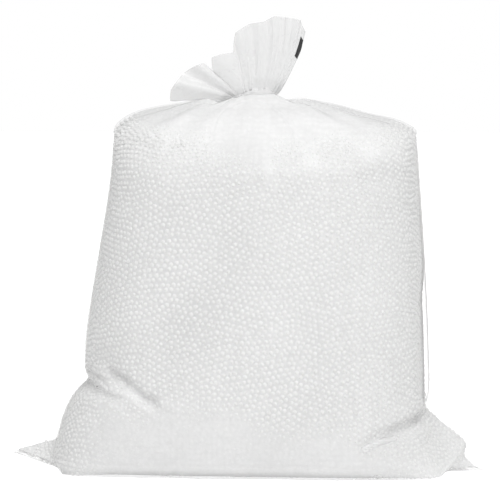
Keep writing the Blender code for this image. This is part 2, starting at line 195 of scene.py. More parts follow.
RIGHT_REACH = (
    (WELD_RING, EAR_SPAN / 2), (1, BULGE_RIGHT + 0.008), (2, BULGE_RIGHT - 0.002), (FLOOR_RING, BULGE_RIGHT),
    (4, BULGE_RIGHT - 0.005), (6, BODY_RIGHT - CREASE_RIGHT_IN + 0.013),
    (7, BODY_RIGHT - CREASE_RIGHT_IN), (9, BODY_RIGHT), (11, BODY_RIGHT - 0.001),
    (SHOULDER_RING - 1, SHOULDER_RIGHT), (SHOULDER_RING, SHOULDER_RIGHT - 0.001),
    (21, SHOULDER_RIGHT - 0.021), (22, SHOULDER_RIGHT - 0.054),
)
RIGHT_HEIGHT = (
    (WELD_RING, RIGHT_EAR_LIFT), (1, RIGHT_EAR_LIFT + 0.007), (FLOOR_RING, BULGE_HEIGHT - 0.003),
    (4, BULGE_HEIGHT + 0.004), (7, CREASE_RIGHT_HEIGHT), (9, CREASE_RIGHT_HEIGHT + 0.024),
    (SHOULDER_RING - 1, SHOULDER_HEIGHT), (SHOULDER_RING, SHOULDER_CORNER - 0.003),
    (21, SHOULDER_CORNER + 0.009), (22, RIM_HEIGHT - 0.014), (23, RIM_HEIGHT - 0.005),
    (RIM_RING, RIM_HEIGHT),
)


# %% The four lines of the loft
def neck_heights():
    """Stations for the height of every line from the hollow's floor to the top of the neck."""
    base = NECK_HEIGHT - NECK_LENGTH / 2
    return ((HOLLOW_RING, base - HOLLOW_DIP), (NECK_BASE_RING, base), (NECK_RING, base + NECK_LENGTH))


def neck_reaches(rim, neck):
    """Stations for how far out the rim, the hollow's floor and the neck lie."""
    return ((RIM_RING, rim), (HOLLOW_RING, neck + HOLLOW_LIP), (NECK_BASE_RING, neck), (NECK_RING, neck))


def crease_line(side, ring):
    """The side crease as (x, y, z) at each ring; side is -1 for the left and +1 for the right."""
    reach, height = (LEFT_REACH, LEFT_HEIGHT) if side < 0 else (RIGHT_REACH, RIGHT_HEIGHT)
    reach += neck_reaches(RIM_WIDTH / 2 + side * NECK_X, NECK_WIDTH / 2 + side * NECK_X)
    height += neck_heights()
    sideways = ((WELD_RING, WELD_Y), (FLOOR_RING, 0.4 * WELD_Y), (BODY_RING, 0.0), (NECK_RING, 0.0))
    return np.stack([side * through(reach, ring), through(sideways, ring), through(height, ring)], axis=-1)


def panel_line(face, ring):
    """The panel's middle as (y, z) at each ring; face is -1 for the front and +1 for the back."""
    foot, body, shoulder = FOOT_DEPTH / 2, BODY_DEPTH / 2, SHOULDER_DEPTH / 2
    rise = RIM_FRONT_RISE if face < 0 else 0.0
    reach = (
        (WELD_RING, face * WELD_Y), *((r, spread * foot) for r, spread in FLOOR_SPREAD[1:]),
        (4, foot + BULGE_FRONT_OUT), (5, body - 0.006), (7, body), (BODY_RING, body),
        (15, body - 0.002), (18, shoulder), (19, shoulder - 0.009), (21, shoulder - 0.044),
        *neck_reaches(RIM_DEPTH / 2, NECK_DEPTH / 2),
    )
    height = (
        (WELD_RING, 0.0), (FLOOR_RING, 0.0), (4, 0.006), (5, 0.018), (6, BULGE_HEIGHT + 0.002),
        (BODY_RING, 0.108), (18, SHOULDER_FRONT - 0.012), (19, SHOULDER_FRONT + 0.004),
        (SHOULDER_RING, SHOULDER_FRONT + 0.018), (22, RIM_HEIGHT - 0.020),
        (RIM_RING, RIM_HEIGHT + rise),
        *neck_heights(),
    )
    return np.stack([face * through(reach, ring), through(height, ring)], axis=-1)


# %% [markdown]
# ## One quarter of the bag
#
# A filled bag is nearly flat in front and round at its sides. A superellipse has that shape: its
# power says how square it is. Near the floor the two films meet along the side and stand out as
# an ear, so there the section gets a thin leaf beyond its rounded end.

# %% The film as a function of ring and column
QUARTER_SAMPLES = 400


def quarter_shares(squareness, across, deep, crowding, steps):
    """For every ring, shares along a superellipse's quarter and its cosine and sine there. The curve
    is (across times cos to the power 2 / squareness, deep times sin to the same power), and the
    columns are spaced by its running length."""
    turn = np.linspace(0.0, math.pi / 2, QUARTER_SAMPLES)
    power = (2 / squareness)[:, None]
    c = np.abs(np.cos(turn)) ** power
    s = np.sin(turn) ** power
    c[:, -1] = 0.0
    piece = np.hypot(np.diff(c, axis=1) * across[:, None], np.diff(s, axis=1) * deep[:, None])
    length = np.concatenate([np.zeros((len(c), 1)), np.cumsum(piece, axis=1)], axis=1)
    share = (np.arange(steps + 1) / steps) ** crowding[:, None]
    at = share * length[:, -1:]
    cosine = np.array([np.interp(a, l, v) for a, l, v in zip(at, length, c)])
    sine = np.array([np.interp(a, l, v) for a, l, v in zip(at, length, s)])
    return share, cosine, sine


def quarter(ring, side, face, steps):
    """Every ring's quarter, from the side crease to the panel's middle, as rings x columns x 3. The
    crease stands out past the rounded end where there is an ear, whose leaf has its full thickness
    a little in from the edge. The left weld swings to the front by half a sine. The section's ends
    roll up from the floor to the ear, and above it the height changes evenly to the panel's."""
    crease = crease_line(side, ring)
    panel = panel_line(face, ring)
    corner = np.where(
        ring < BODY_RING, through(LEFT_CORNER if side < 0 else RIGHT_CORNER, ring), np.abs(crease[:, 0])
    )
    across = corner - side * NECK_X
    deep = np.abs(panel[:, 0] - crease[:, 1])
    share, c, s = quarter_shares(through(SQUARENESS, ring), across, deep, through(CROWDING, ring), steps)
    ear = (np.abs(crease[:, 0]) - corner)[:, None]
    pinch = np.clip(1 - share / EAR_SHARE, 0.0, 1.0)
    x = NECK_X + side * (across[:, None] * c + ear * pinch)
    crease_y = crease[:, 1:2]
    y = crease_y + (panel[:, :1] - crease_y) * s
    thickness = EAR_THICKNESS * np.clip(ring, 0.0, 1.0)[:, None]
    leaf = crease_y + face * thickness / 2 * np.minimum(1.0, share / LEAF_EDGE_SHARE)
    y += (leaf - y) * pinch**0.8 * np.clip(ear / LEAF_FROM, 0.0, 1.0)
    if side < 0:
        swing = LEFT_WELD_SWING * through(SWING_FADE, ring)[:, None]
        y -= swing * np.sin(math.pi * np.minimum(1.0, share / SWING_SHARE)) * s**0.5
    even = 1 - np.clip(1 - share / through(SETTLE, ring)[:, None], 0.0, 1.0) ** 2
    rolled = np.clip((np.abs(x) - corner[:, None] + FOOT_ROLL) / (ear + FOOT_ROLL), 0.0, 1.0)
    on_floor = through(ON_FLOOR, ring)[:, None]
    fall = on_floor * (1 - rolled**1.3) + (1 - on_floor) * even
    z = crease[:, 2:] + (panel[:, 1:] - crease[:, 2:]) * fall
    return np.stack([x, y, z], axis=-1)


def body_surface(ring, columns):
    """The film up to the neck: four quarters side by side, as rings x columns x 3."""
    steps = columns // 4
    return np.concatenate([
        quarter(ring, +1, -1, steps)[:, :-1],
        quarter(ring, -1, -1, steps)[:, :0:-1],
        quarter(ring, -1, +1, steps)[:, :-1],
        quarter(ring, +1, +1, steps)[:, :0:-1],
    ], axis=1)


# %% [markdown]
# ## Gathers, hollows and grooves
#
# Where film is drawn together it has nowhere to go but up and down, so it makes pleats that point
# at the tie and die out over the shoulder. The beads push from inside, and where they have
# settled the panel has broad hollows. Two grooves run in from the side creases, where the
# bottom corners are turned over.

# %% Folds that the solid has too
# Hollows: x, height, half width, half height, depth. Grooves: outer end, run, half width, depth.
HOLLOWS = (
    (-0.020, 0.245, 0.030, 0.075, 0.0045),
    (-0.055, 0.335, 0.030, 0.018, 0.0050),
    (0.150, 0.325, 0.022, 0.014, 0.0060),
    (0.055, 0.140, 0.022, 0.025, 0.0030),
    (-0.150, 0.130, 0.020, 0.012, 0.0040),
)
GROOVES = (
    ((-BODY_LEFT, CREASE_LEFT_HEIGHT - 0.002), (0.095, -0.021), 0.0080, 0.0100),
    ((BODY_RIGHT - 0.002, CREASE_RIGHT_HEIGHT - 0.009), (-0.081, -0.034), 0.0070, 0.0090),
)
FRONT_FADE = 0.3 * BODY_DEPTH
CREASE_FADE = 0.05
FLOOR_FADE = 0.02


def outward(grid):
    """Level unit vectors that point away from the middle of each ring."""
    away = grid - grid.mean(axis=1, keepdims=True)
    away[..., 2] = 0.0
    return away / np.maximum(np.linalg.norm(away, axis=-1, keepdims=True), 1e-9)


def pleat_wave(column):
    """A cosine that is +1 on a pleat's crest and -1 in its valley."""
    return np.cos(2 * math.pi * column / PLEAT_COLUMNS)


def add_gathers(grid, ring, column):
    """Lifts the shoulder by the pleats' cosine times a rise that grows to the rim, and tucks the
    neck in between the pleats' crests."""
    wave = pleat_wave(column)
    rise = through(((WELD_RING, 0.0), (18, 0.0), (21, 0.6), (RIM_RING, 1.0), (NECK_RING, 0.0)), ring)
    grid[..., 2] += SHOULDER_PLEAT_DEPTH / 2 * rise[:, None] * wave
    tuck = through(((WELD_RING, 0.0), (22, 0.0), (RIM_RING, 0.6), (NECK_RING, 1.0)), ring)
    grid -= outward(grid) * (NECK_PLEAT_DEPTH * tuck[:, None] * (1 - wave) / 2)[..., None]


def press_in(grid):
    """Presses each hollow in by a bell of its depth, and each groove by a bell across its line that
    fades at both ends."""
    x, y, z = grid[..., 0], grid[..., 1], grid[..., 2]
    on_front = np.clip(-y / FRONT_FADE, 0.0, 1.0)
    off_crease = np.clip(np.abs(y) / CREASE_FADE - 0.1, 0.0, 1.0)
    press = np.zeros_like(x)
    for middle, height, half_x, half_z, depth in HOLLOWS:
        off = ((x - middle) / half_x) ** 2 + ((z - height) / half_z) ** 2
        press += depth * np.exp(-off) * on_front
    for outer, run, half_width, depth in GROOVES:
        share = ((x - outer[0]) * run[0] + (z - outer[1]) * run[1]) / np.dot(run, run)
        off = (z - outer[1] - share * run[1]) / half_width
        fade = np.clip(1.15 - share, 0.0, 1.0) * np.clip(1.5 + 4 * share, 0.0, 1.0)
        press += depth * fade * np.exp(-(off**2)) * off_crease
    off_floor = np.clip(z / FLOOR_FADE, 0.0, 1.0)
    grid -= outward(grid) * (press * off_floor)[..., None]


# %% [markdown]
# ## The tail
#
# Above the tie the same film opens again as a fan. Each column of the film leaves the neck along
# its own ray. The list gives, from the fan's right edge to its left, where along the film a ray
# starts, the angle at which it leans and how far it reaches, which makes the notched mouth. In
# front the tie can't be seen, because loose film has slid down over it, so there the film is
# carried from the shoulder straight up to the fan, as a soft bridge.

# %% The fan above the tie
FAN = (
    (0.000, 64, 0.083),
    (0.094, 69, 0.094),
    (0.312, 82, 0.093),
    (0.406, 87, 0.086),
    (0.500, 94, 0.084),
    (0.594, 103, 0.076),
    (0.656, 107, 0.055),
    (0.719, 128, 0.060),
    (0.750, 137, 0.046),
    (0.781, 136, 0.060),
    (0.906, 158, 0.070),
    (0.969, 171, 0.075),
    (1.000, 180, 0.074),
)
PLEATS_KEPT = ((0.0, 0.55), (0.3, 0.40), (0.65, 0.45), (0.78, 0.80), (1.0, 0.90))
FAN_TURN = math.radians(TAIL_TURN)
FAN_RIGHT = np.array([math.cos(FAN_TURN), math.sin(FAN_TURN), 0.0])
FAN_AWAY = np.array([-math.sin(FAN_TURN), math.cos(FAN_TURN), 0.0])
FAN_UP = np.array([0.0, 0.0, 1.0])


def fan_surface(neck, ring, column):
    """Each column goes from the neck along a ray: t times its reach, at an angle that bends towards
    the neck's middle near the tie. The two films stand apart across the fan. Their pleats are the
    cosine times the share that is kept, because the wide part of the fan is pulled nearly flat."""
    shares, angles, reaches = np.array(FAN, float).T
    share = np.where(column <= HALF, column, COLUMNS - column) / HALF
    angle = np.radians(np.interp(share, shares, angles))
    reach = np.interp(share, shares, reaches)
    face = np.where(column <= HALF, -1.0, 1.0) * np.sin(math.pi * share) ** 0.5
    depth = face * TAIL_MOUTH_DEPTH / 2 + pleat_wave(column) * PLEAT_DEPTH * through(PLEATS_KEPT, share)
    t = ((ring - NECK_RING) / (MOUTH_RING - NECK_RING))[:, None]
    opened = t**0.8
    lean = angle - math.radians(TAIL_BEND) * (1 - t) * (1 - share)
    ray = np.cos(lean)[..., None] * FAN_RIGHT + np.sin(lean)[..., None] * FAN_UP
    start = neck * np.stack([np.ones_like(opened), 1 - opened, np.ones_like(opened)], axis=-1)
    return start + ray * (reach * t)[..., None] + (depth * opened)[..., None] * FAN_AWAY


# %% The whole film
def film_surface(ring, columns):
    """The whole film at the given rings, as rings x columns x 3, and the columns' numbers."""
    column = np.arange(columns) * COLUMNS / columns
    below = ring[ring <= NECK_RING]
    body = body_surface(below, columns)
    add_gathers(body, below, column)
    press_in(body)
    above = ring[ring > NECK_RING]
    return np.concatenate([body, fan_surface(body[-1], above, column)]), column


# %% The bridge in front of the tie
BRIDGE_RINGS = (21.2, 27.7)
BRIDGE_COLUMNS = (4.0, 10.0, 22.0, 28.0)
BRIDGE_CROWN = np.array([0.0, -0.003, 0.005])


def bridge_neck(grid, ring, column):
    """Carries the front film over the tie, which it hides. Between two rings each place becomes the
    blend of the two ends by the share of the way, plus the crown times four times the share times
    what is left of it, and the bridge fades out towards the sides."""
    start, end = (grid[np.searchsorted(ring, at)] for at in BRIDGE_RINGS)
    share = np.clip((ring - BRIDGE_RINGS[0]) / (BRIDGE_RINGS[1] - BRIDGE_RINGS[0]), 0.0, 1.0)[:, None, None]
    over = start + (end - start) * share + BRIDGE_CROWN * (4 * share * (1 - share))
    left, full_left, full_right, right = BRIDGE_COLUMNS
    weight = np.interp(column, (left, full_left, full_right, right), (0.0, 1.0, 1.0, 0.0))
    weight = (weight**2 * (3 - 2 * weight))[None, :, None] * ((share > 0) & (share < 1))
    return grid + (over - grid) * weight


# %% The film drawn finely
def ring_steps(*stretches):
    """Ring numbers for stretches of (first, last, steps), without a double at the joins."""
    parts = [np.linspace(first, last, steps, endpoint=False) for first, last, steps in stretches]
    return np.append(np.concatenate(parts), stretches[-1][1])


FILM_RINGS = ring_steps((0, 3, 14), (3, 10, 64), (10, 19, 64), (19, 24, 50), (24, 27, 12), (27, 33, 36))
FILM_COLUMNS = 384
film_grid, film_column = film_surface(FILM_RINGS, FILM_COLUMNS)
film_grid = bridge_neck(film_grid, FILM_RINGS, film_column)
print(f"film: {len(FILM_RINGS)} rings x {FILM_COLUMNS} columns")

# %% [markdown]
# ## Crinkles
#
# Thin film never lies smooth. It keeps soft waves where it is slack, sharp little ridges where it
# was crumpled, and long tight folds that run from the tie. All of them are heights added along the
# film's normal. Soft waves are sums of sines in random directions, and a ridge is a narrow bell
# where such a sum passes through zero, which gives the branching lines of crumpled film. In front,
# above the foot, the film stands a little clear of the beads, and it is slack and smooth there.

# %% Heights for waves, ridges and folds
def normals_of(grid):
    """Unit normals of a grid that closes in its columns: the step up crossed with the step along."""
    up = np.gradient(grid, axis=0)
    along = np.roll(grid, -1, axis=1) - np.roll(grid, 1, axis=1)
    normal = np.cross(up, along)
    return normal / np.maximum(np.linalg.norm(normal, axis=-1, keepdims=True), 1e-12)


def soft_waves(points, wavelength, seed, stretch=(1.0, 1.0, 1.0), count=10):
    """A sum of sines of about one wavelength that run in random directions, mostly within -1 to 1.
    A stretch above 1 draws the waves out along that axis."""
    rng = np.random.default_rng(seed)
    direction = rng.normal(size=(count, 3))
    direction /= np.linalg.norm(direction, axis=1, keepdims=True)
    turns = 2 * math.pi / (wavelength * rng.uniform(0.7, 1.4, count))
    phase = rng.uniform(0.0, 2 * math.pi, count)
    waves = np.sin((points / np.array(stretch)) @ (direction * turns[:, None]).T + phase)
    return waves.sum(axis=-1) / math.sqrt(2 * count)


def ridges(points, wavelength, seed, sharpness=0.10, stretch=(1.0, 1.0, 1.0)):
    """A bell of that half width wherever the soft waves pass through zero."""
    return np.exp(-((soft_waves(points, wavelength, seed, stretch) / sharpness) ** 2))


def smooth_step(value, low, high):
    """0 below low, 1 above high, and 3 s squared less 2 s cubed between."""
    s = np.clip((value - low) / (high - low), 0.0, 1.0)
    return s * s * (3 - 2 * s)


def between(value, low, full_low, full_high, high):
    """1 from full_low to full_high, with smooth steps down to 0 at low and at high."""
    return smooth_step(value, low, full_low) * (1 - smooth_step(value, full_high, high))


def weighted(*parts):
    """The sum of all fields, each times the weight that stands before it."""
    return sum(weight * field for weight, field in parts)


def near_route(grid, route, half_width):
    """A bell of the distance, seen from the front, to a line through (x, z) points."""
    seen = grid[..., [0, 2]]
    nearest = np.full(grid.shape[:2], np.inf)
    for start, end in zip(np.array(route[:-1]), np.array(route[1:])):
        run = end - start
        share = np.clip(((seen - start) @ run) / (run @ run), 0.0, 1.0)
        nearest = np.minimum(nearest, np.linalg.norm(seen - start - share[..., None] * run, axis=-1))
    return np.exp(-((nearest / half_width) ** 2)) * smooth_step(-grid[..., 1], 0.01, 0.03)


# %% Where the film lies in front, on the shoulder or on the tail, and where it is slack
ring_of = np.repeat(FILM_RINGS[:, None], FILM_COLUMNS, axis=1)
column_of = np.repeat(film_column[None, :], len(FILM_RINGS), axis=0)
x_of, y_of, z_of = film_grid[..., 0], film_grid[..., 1], film_grid[..., 2]

on_front = smooth_step(-y_of, 0.02, 0.08)
on_tail = smooth_step(ring_of, NECK_RING, NECK_RING + 1.0)
on_shoulder = between(ring_of, 18.0, 21.0, RIM_RING, NECK_RING)
off_floor = smooth_step(z_of, 0.002, 0.012)

SLACK_EDGE = (
    (-0.185, 0.045), (-0.150, 0.080), (-0.110, 0.087), (-0.060, 0.094), (0.000, 0.093), (0.030, 0.077),
    (0.110, 0.064), (0.180, 0.040),
)
SLACK_FADE = 0.030
slack_top = through(SLACK_EDGE, np.clip(x_of, -0.185, 0.180)) + 0.007 * soft_waves(film_grid, 0.05, 5)
slack = on_front * (1 - smooth_step(z_of, slack_top - SLACK_FADE, slack_top))
slack = slack * between(x_of, -0.190, -0.135, 0.135, 0.215)
print(f"slack over {slack.mean():.0%} of the film")

# %% [markdown]
# ## Folds that have their own place
#
# Some folds are seen one by one. Below the tie a smooth lobe of loose film hangs over the shoulder
# with long streaks beside it, and both lower corners are turned over, which makes short deep
# creases with pressed crests between them. Each is drawn along a route of (x, z) points as seen
# from the front. The front panel also has one broad shallow dent, where the beads have settled.

# %% The lobe of loose film below the tie, and long streaks beside it, with their half widths
LOBE_X = 0.012
LOBE_HALF_WIDTH = 0.075
LOBE_EDGE_WIDTH = 0.0016
LOBE_LEFT = (
    (-0.029, 0.362), (-0.029, 0.374), (-0.026, 0.386), (-0.019, 0.395), (-0.008, 0.400), (0.004, 0.403),
)
LOBE_RIGHT = (
    (0.012, 0.403), (0.030, 0.398), (0.041, 0.390), (0.051, 0.379), (0.057, 0.368), (0.056, 0.356),
)
LOBE_FOOT = ((-0.050, 0.358), (-0.010, 0.349), (0.014, 0.339), (0.060, 0.331))
STREAKS = (
    (((0.0243, 0.386), (0.0290, 0.358), (0.0345, 0.325)), 0.0045),
    (((0.0660, 0.383), (0.0720, 0.362), (0.0780, 0.343)), 0.0065),
    (((-0.0620, 0.388), (-0.0750, 0.372), (-0.0820, 0.355)), 0.0042),
    (((0.1050, 0.384), (0.1300, 0.366), (0.1450, 0.350)), 0.0100),
)
lobe_sides = (LOBE_LEFT, LOBE_RIGHT)
lobe_edge = np.max([near_route(film_grid, route, LOBE_EDGE_WIDTH) for route in lobe_sides], axis=0)
streak = np.max([near_route(film_grid, route, half_width) for route, half_width in STREAKS], axis=0)
lobe_foot = through(LOBE_FOOT, np.clip(x_of, -0.050, 0.060))
in_lobe = between(x_of, -0.037, -0.024, 0.020, 0.036) * on_front * (1 - on_tail)
in_lobe *= smooth_step(z_of, lobe_foot - 0.006, lobe_foot + 0.010)

# %% Creases at the two folded corners: a route, its half width, and how far it stands out
CREASES = (
    (((-0.142, 0.116), (-0.125, 0.107), (-0.112, 0.097), (-0.102, 0.088), (-0.093, 0.085)), 0.0052, -0.0075),
    (((-0.172, 0.112), (-0.156, 0.107), (-0.146, 0.103)), 0.0030, -0.0040),
    (((-0.153, 0.098), (-0.136, 0.098), (-0.123, 0.092), (-0.109, 0.084), (-0.096, 0.078)), 0.0060, 0.0040),
    (((-0.152, 0.093), (-0.128, 0.087)), 0.0100, 0.0026),
    (((-0.084, 0.086), (-0.065, 0.081)), 0.0030, 0.0020),
    (((0.136, 0.036), (0.143, 0.040), (0.152, 0.044), (0.166, 0.047)), 0.0021, 0.0026),
    (((0.160, 0.048), (0.169, 0.051), (0.177, 0.054), (0.184, 0.058), (0.190, 0.063)), 0.0032, -0.0024),
    (((0.143, 0.049), (0.154, 0.055), (0.170, 0.058)), 0.0034, -0.0018),
)
crease_height = np.zeros_like(x_of)
crest = np.zeros_like(x_of)
for route, half_width, stand in CREASES:
    bell = near_route(film_grid, route, half_width)
    crease_height += stand * bell
    if stand > 0:
        crest = np.maximum(crest, bell)
DENT_X, DENT_HEIGHT = -0.052, 0.215
DENT_HALF_WIDTH, DENT_HALF_HEIGHT, DENT_DEPTH = 0.036, 0.100, 0.0040
dent = on_front * np.exp(
    -(((x_of - DENT_X) / DENT_HALF_WIDTH) ** 2) - ((z_of - DENT_HEIGHT) / DENT_HALF_HEIGHT) ** 4
)
film_grid = film_grid + normals_of(film_grid) * (crease_height - DENT_DEPTH * dent)[..., None]
x_of, y_of, z_of = film_grid[..., 0], film_grid[..., 1], film_grid[..., 2]
print(f"creases from {crease_height.min() * 1000:.1f} to {crease_height.max() * 1000:.1f} mm")


# %% Folds that run down from the tie
def radial_folds(ring, column, count, seed):
    """Narrow folds that start at the rim and run down the shoulder: each is a bell round a column
    that wanders a little with the ring, from its own foot ring up."""
    rng = np.random.default_rng(seed)
    height = np.zeros_like(ring)
    for middle, width, foot, tall, drift in zip(
        rng.uniform(0, COLUMNS, count), rng.uniform(0.18, 0.55, count), rng.uniform(16.5, 22.0, count),
        rng.uniform(0.35, 1.0, count), rng.uniform(-0.25, 0.25, count),
    ):
        off = column - middle - drift * (RIM_RING - ring)
        off -= COLUMNS * np.round(off / COLUMNS)
        height += tall * np.exp(-((off / width) ** 2)) * smooth_step(ring, foot, foot + 3.0)
    return np.minimum(height, 1.6) * (1 - smooth_step(ring, RIM_RING, NECK_BASE_RING))


# %% Add the heights along the normals
TAIL_COLUMN_STEP = 0.0042
TAIL_RING_STEP = 0.0016
LOWEST_HEIGHT = -0.0003
tail_places = np.stack(
    [column_of * TAIL_COLUMN_STEP, ring_of * TAIL_RING_STEP, np.zeros_like(ring_of)], axis=-1
)
crumpled = off_floor * (1 - on_tail) * smooth_step(soft_waves(film_grid, 0.12, 22), -0.1, 0.5)
height = weighted(
    (0.0007, radial_folds(ring_of, column_of, count=90, seed=11)),
    (0.0008, streak), (0.0007, lobe_edge), (0.0005, in_lobe),
    (0.0005, crumpled * ridges(film_grid, 0.070, 24)),
    (0.0006, slack * soft_waves(film_grid, 0.022, 31, stretch=(3.0, 1.0, 0.8))),
    (0.0010, slack * ridges(film_grid, 0.045, 32, 0.08, stretch=(2.6, 1.0, 0.9))),
    (0.0008, on_tail * soft_waves(tail_places, 0.0075, 41)),
    (0.0009, on_tail * ridges(tail_places, 0.0120, 42, 0.16)),
)
height = np.maximum(height, LOWEST_HEIGHT)
film_normals = normals_of(film_grid)
film_points = film_grid + film_normals * height[..., None]
film_points[..., 2] = np.maximum(film_points[..., 2], 0.0)
print(f"folds up to {height.max() * 1000:.1f} mm high")

# %% [markdown]
# ## The film's mesh
#
# The grid becomes a mesh of quads. At the bottom weld the front and the back are one line, so the
# first ring is folded flat: its back columns use the front's points. Two values go with every
# point. Haze says how milky the film is, because doubled, creased and pressed film is less clear
# than a single sheet. At the right crease's crest the haze also makes a painted glint opaque.
# Whiteness is the white of the film and of the beads behind it, with painted light and painted
# shade added: painted highlights on the crests and streaks, painted light on the upper shoulder,
# the rim, the ears, the foot and the slack film, and painted shade in the dent, on the strip
# beside the right crease and on the tail.

# %% Mesh helpers
def new_piece(name, points, faces, uniform=True):
    """An object at the origin with those points and faces (all quads, or a list), shaded smooth."""
    data = bpy.data.meshes.new(name)
    if uniform:
        count, sides = faces.shape
        data.vertices.add(len(points))
        data.vertices.foreach_set("co", np.ascontiguousarray(points, np.float32).ravel())
        data.loops.add(count * sides)
        data.loops.foreach_set("vertex_index", np.ascontiguousarray(faces, np.int32).ravel())
        data.polygons.add(count)
        data.polygons.foreach_set("loop_start", np.arange(0, count * sides, sides, dtype=np.int32))
        data.update(calc_edges=True)
    else:
        data.from_pydata(points.tolist(), [], faces)
    data.shade_smooth()
    piece = bpy.data.objects.new(name, data)
    bpy.context.scene.collection.objects.link(piece)
    return piece


def give(piece, name, values):
    """Stores one number for each point under that name, for a material to read."""
    attribute = piece.data.attributes.new(name, "FLOAT", "POINT")
    attribute.data.foreach_set("value", np.ascontiguousarray(values, np.float32).ravel())


def dress(piece, finish, slot_name, *nodes):
    """Gives a piece its material and its place on the body, and hides the solids that it stands for."""
    piece.data.materials.append(finish)
    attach(piece, "root")
    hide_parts(*nodes)
    print(f"{piece.name}: {len(piece.data.polygons)} faces")


def quads_between(index, closed=True):
    """Quads between the neighbouring rings of a grid of point numbers, closed in its columns or not.
    Each goes up a ring and then along to the next column, so it looks outwards."""
    low, high = index[:-1], index[1:]
    quads = np.stack([low, high, np.roll(high, -1, axis=1), np.roll(low, -1, axis=1)], axis=-1)
    return (quads if closed else quads[:, :-1]).reshape(-1, 4)


def folded_faces(rings, columns):
    """Quads between neighbouring rings, and the index of the points that are kept, where the first
    ring's back columns are the same points as its front ones."""
    index = np.arange(rings * columns).reshape(rings, columns)
    half = columns // 2
    index[0, half + 1 :] = index[0, half - 1 : 0 : -1]
    kept, index = np.unique(index, return_inverse=True)
    return kept, quads_between(index.reshape(rings, columns))


# %% Where the film is welded, gathered, pressed or stands off the beads
at_weld = 1 - smooth_step(ring_of, 0.30, 0.75)
at_neck = between(ring_of, 26.2, 27.4, NECK_RING + 0.6, NECK_RING + 2.0)
at_rim = smooth_step(ring_of, 19.8, 21.6)
# Where painted light lightens the film and the beads near the floor.
foot_painted_light = 1 - smooth_step(z_of, 0.003, 0.028)
mid_shoulder = np.exp(-(((x_of - LOBE_X) / LOBE_HALF_WIDTH) ** 2)) * on_front
in_left_ear = smooth_step(-x_of, FOOT_LEFT, FOOT_LEFT + 0.010) * (1 - smooth_step(z_of, 0.040, 0.055))
in_right_ear = smooth_step(x_of, 0.175, 0.205) * (1 - smooth_step(z_of, 0.050, 0.070))
# A painted glint on the right crease's crest: the film there is made opaque and whiter.
right_crest_painted_glint = crest * smooth_step(x_of, 0.10, 0.12)
from_right_crease = np.minimum(column_of, COLUMNS - column_of)
stands_off = (1 - smooth_step(from_right_crease, 1.0, 3.0)) * between(z_of, 0.066, 0.085, 0.200, 0.330)

# %% Haze, and whiteness with painted light and painted shade, and where the gaps between the beads are faded
HAZE_EVERYWHERE = 0.10
WHITENESS_EVERYWHERE = 0.87
WHITEST = 0.97
# The right crest's large haze turns its painted glint into an opaque white streak.
haze = HAZE_EVERYWHERE + weighted(
    (0.04, soft_waves(film_grid, 0.09, 51)), (0.06, slack), (-0.06, on_shoulder), (0.05, crest),
    (0.70, right_crest_painted_glint), (0.12, lobe_edge), (0.30, on_tail), (0.50, at_weld), (0.60, at_neck),
    (0.55, stands_off),
)
haze = np.clip(haze, 0.0, 1.0)
# Past the film's own white, whiteness is painted light and painted shade: painted highlights on the crests,
# the right crest and the streaks, painted light on the upper shoulder, rim and neck, the slack film, the
# ears and the foot, and painted shade in the dent, on the strip beside the right crease and on the tail.
# Only the soft waves are a tone that differs at random.
whiteness_and_painted_light = WHITENESS_EVERYWHERE + weighted(
    (0.10, np.maximum(on_shoulder * on_front, smooth_step(ring_of, 23.0, 25.0))),
    (0.012, soft_waves(film_grid, 0.10, 61) * (1 - on_tail)), (0.08, crest), (0.05, right_crest_painted_glint),
    (0.02, slack), (0.06, streak), (0.08, in_left_ear), (0.05, in_right_ear), (0.05, foot_painted_light),
    (-0.035, dent), (-0.20, stands_off), (-0.12, on_tail),
)
whiteness_and_painted_light = np.clip(whiteness_and_painted_light, 0.0, WHITEST)
faded = weighted(
    (1.0, slack), (0.30, mid_shoulder * on_shoulder), (0.90, at_rim), (1.0, in_lobe + streak + right_crest_painted_glint),
)
faded = np.clip(faded, 0.0, 1.0)

# %% The film's mesh
kept, film_quads = folded_faces(*film_points.shape[:2])
film = new_piece("clear_film_bag", film_points.reshape(-1, 3)[kept], film_quads)
give(film, "haze", haze.ravel()[kept])
give(film, "whiteness_and_painted_light", whiteness_and_painted_light.ravel()[kept])
print(f"film: {2 * len(film_quads)} triangles")

# %% [markdown]
# ## Places for the beads
#
# Foam beads pushed against a film settle into patches of honeycomb with faults between them. A
# drawn honeycomb would look printed, so the beads are let settle here too: they start evenly by
# area just inside the film, and each then pushes its neighbours away, over and over, staying on
# its surface. Only the layer against the film is made. A core behind it closes the gaps.

# %% Reading the film between its points
def on_grid(grid, row, column):
    """The grid's value between its points: the mean of the four around, weighted by nearness."""
    row = np.clip(row, 0, grid.shape[0] - 1.001)
    low, left = np.floor(row).astype(int), np.floor(column).astype(int)
    up, along = row - low, column - left
    if grid.ndim == 3:
        up, along = up[..., None], along[..., None]
    columns = grid.shape[1]
    left, right = left % columns, (left + 1) % columns
    below = grid[low, left] * (1 - along) + grid[low, right] * along
    above = grid[low + 1, left] * (1 - along) + grid[low + 1, right] * along
    return below * (1 - up) + above * up


def row_of(ring):
    """The grid row at which a ring number lies."""
    return np.interp(ring, FILM_RINGS, np.arange(len(FILM_RINGS)))


# %% How thick the bag is under each place of the film
smooth_normals = normals_of(film_grid)
smooth_tree = BVHTree.FromPolygons(film_grid.reshape(-1, 3)[kept].tolist(), film_quads.tolist())
PROBE_ROWS = np.linspace(0, len(FILM_RINGS) - 1, 64).astype(int)
PROBE_STEP = 6
PROBE_START = 0.0006
LONG_WAY = 0.3


def film_behind(start, inward):
    """The way from a point to the film on the other side, or a long way where nothing is met."""
    way = smooth_tree.ray_cast(start, inward)[3]
    return LONG_WAY if way is None else way


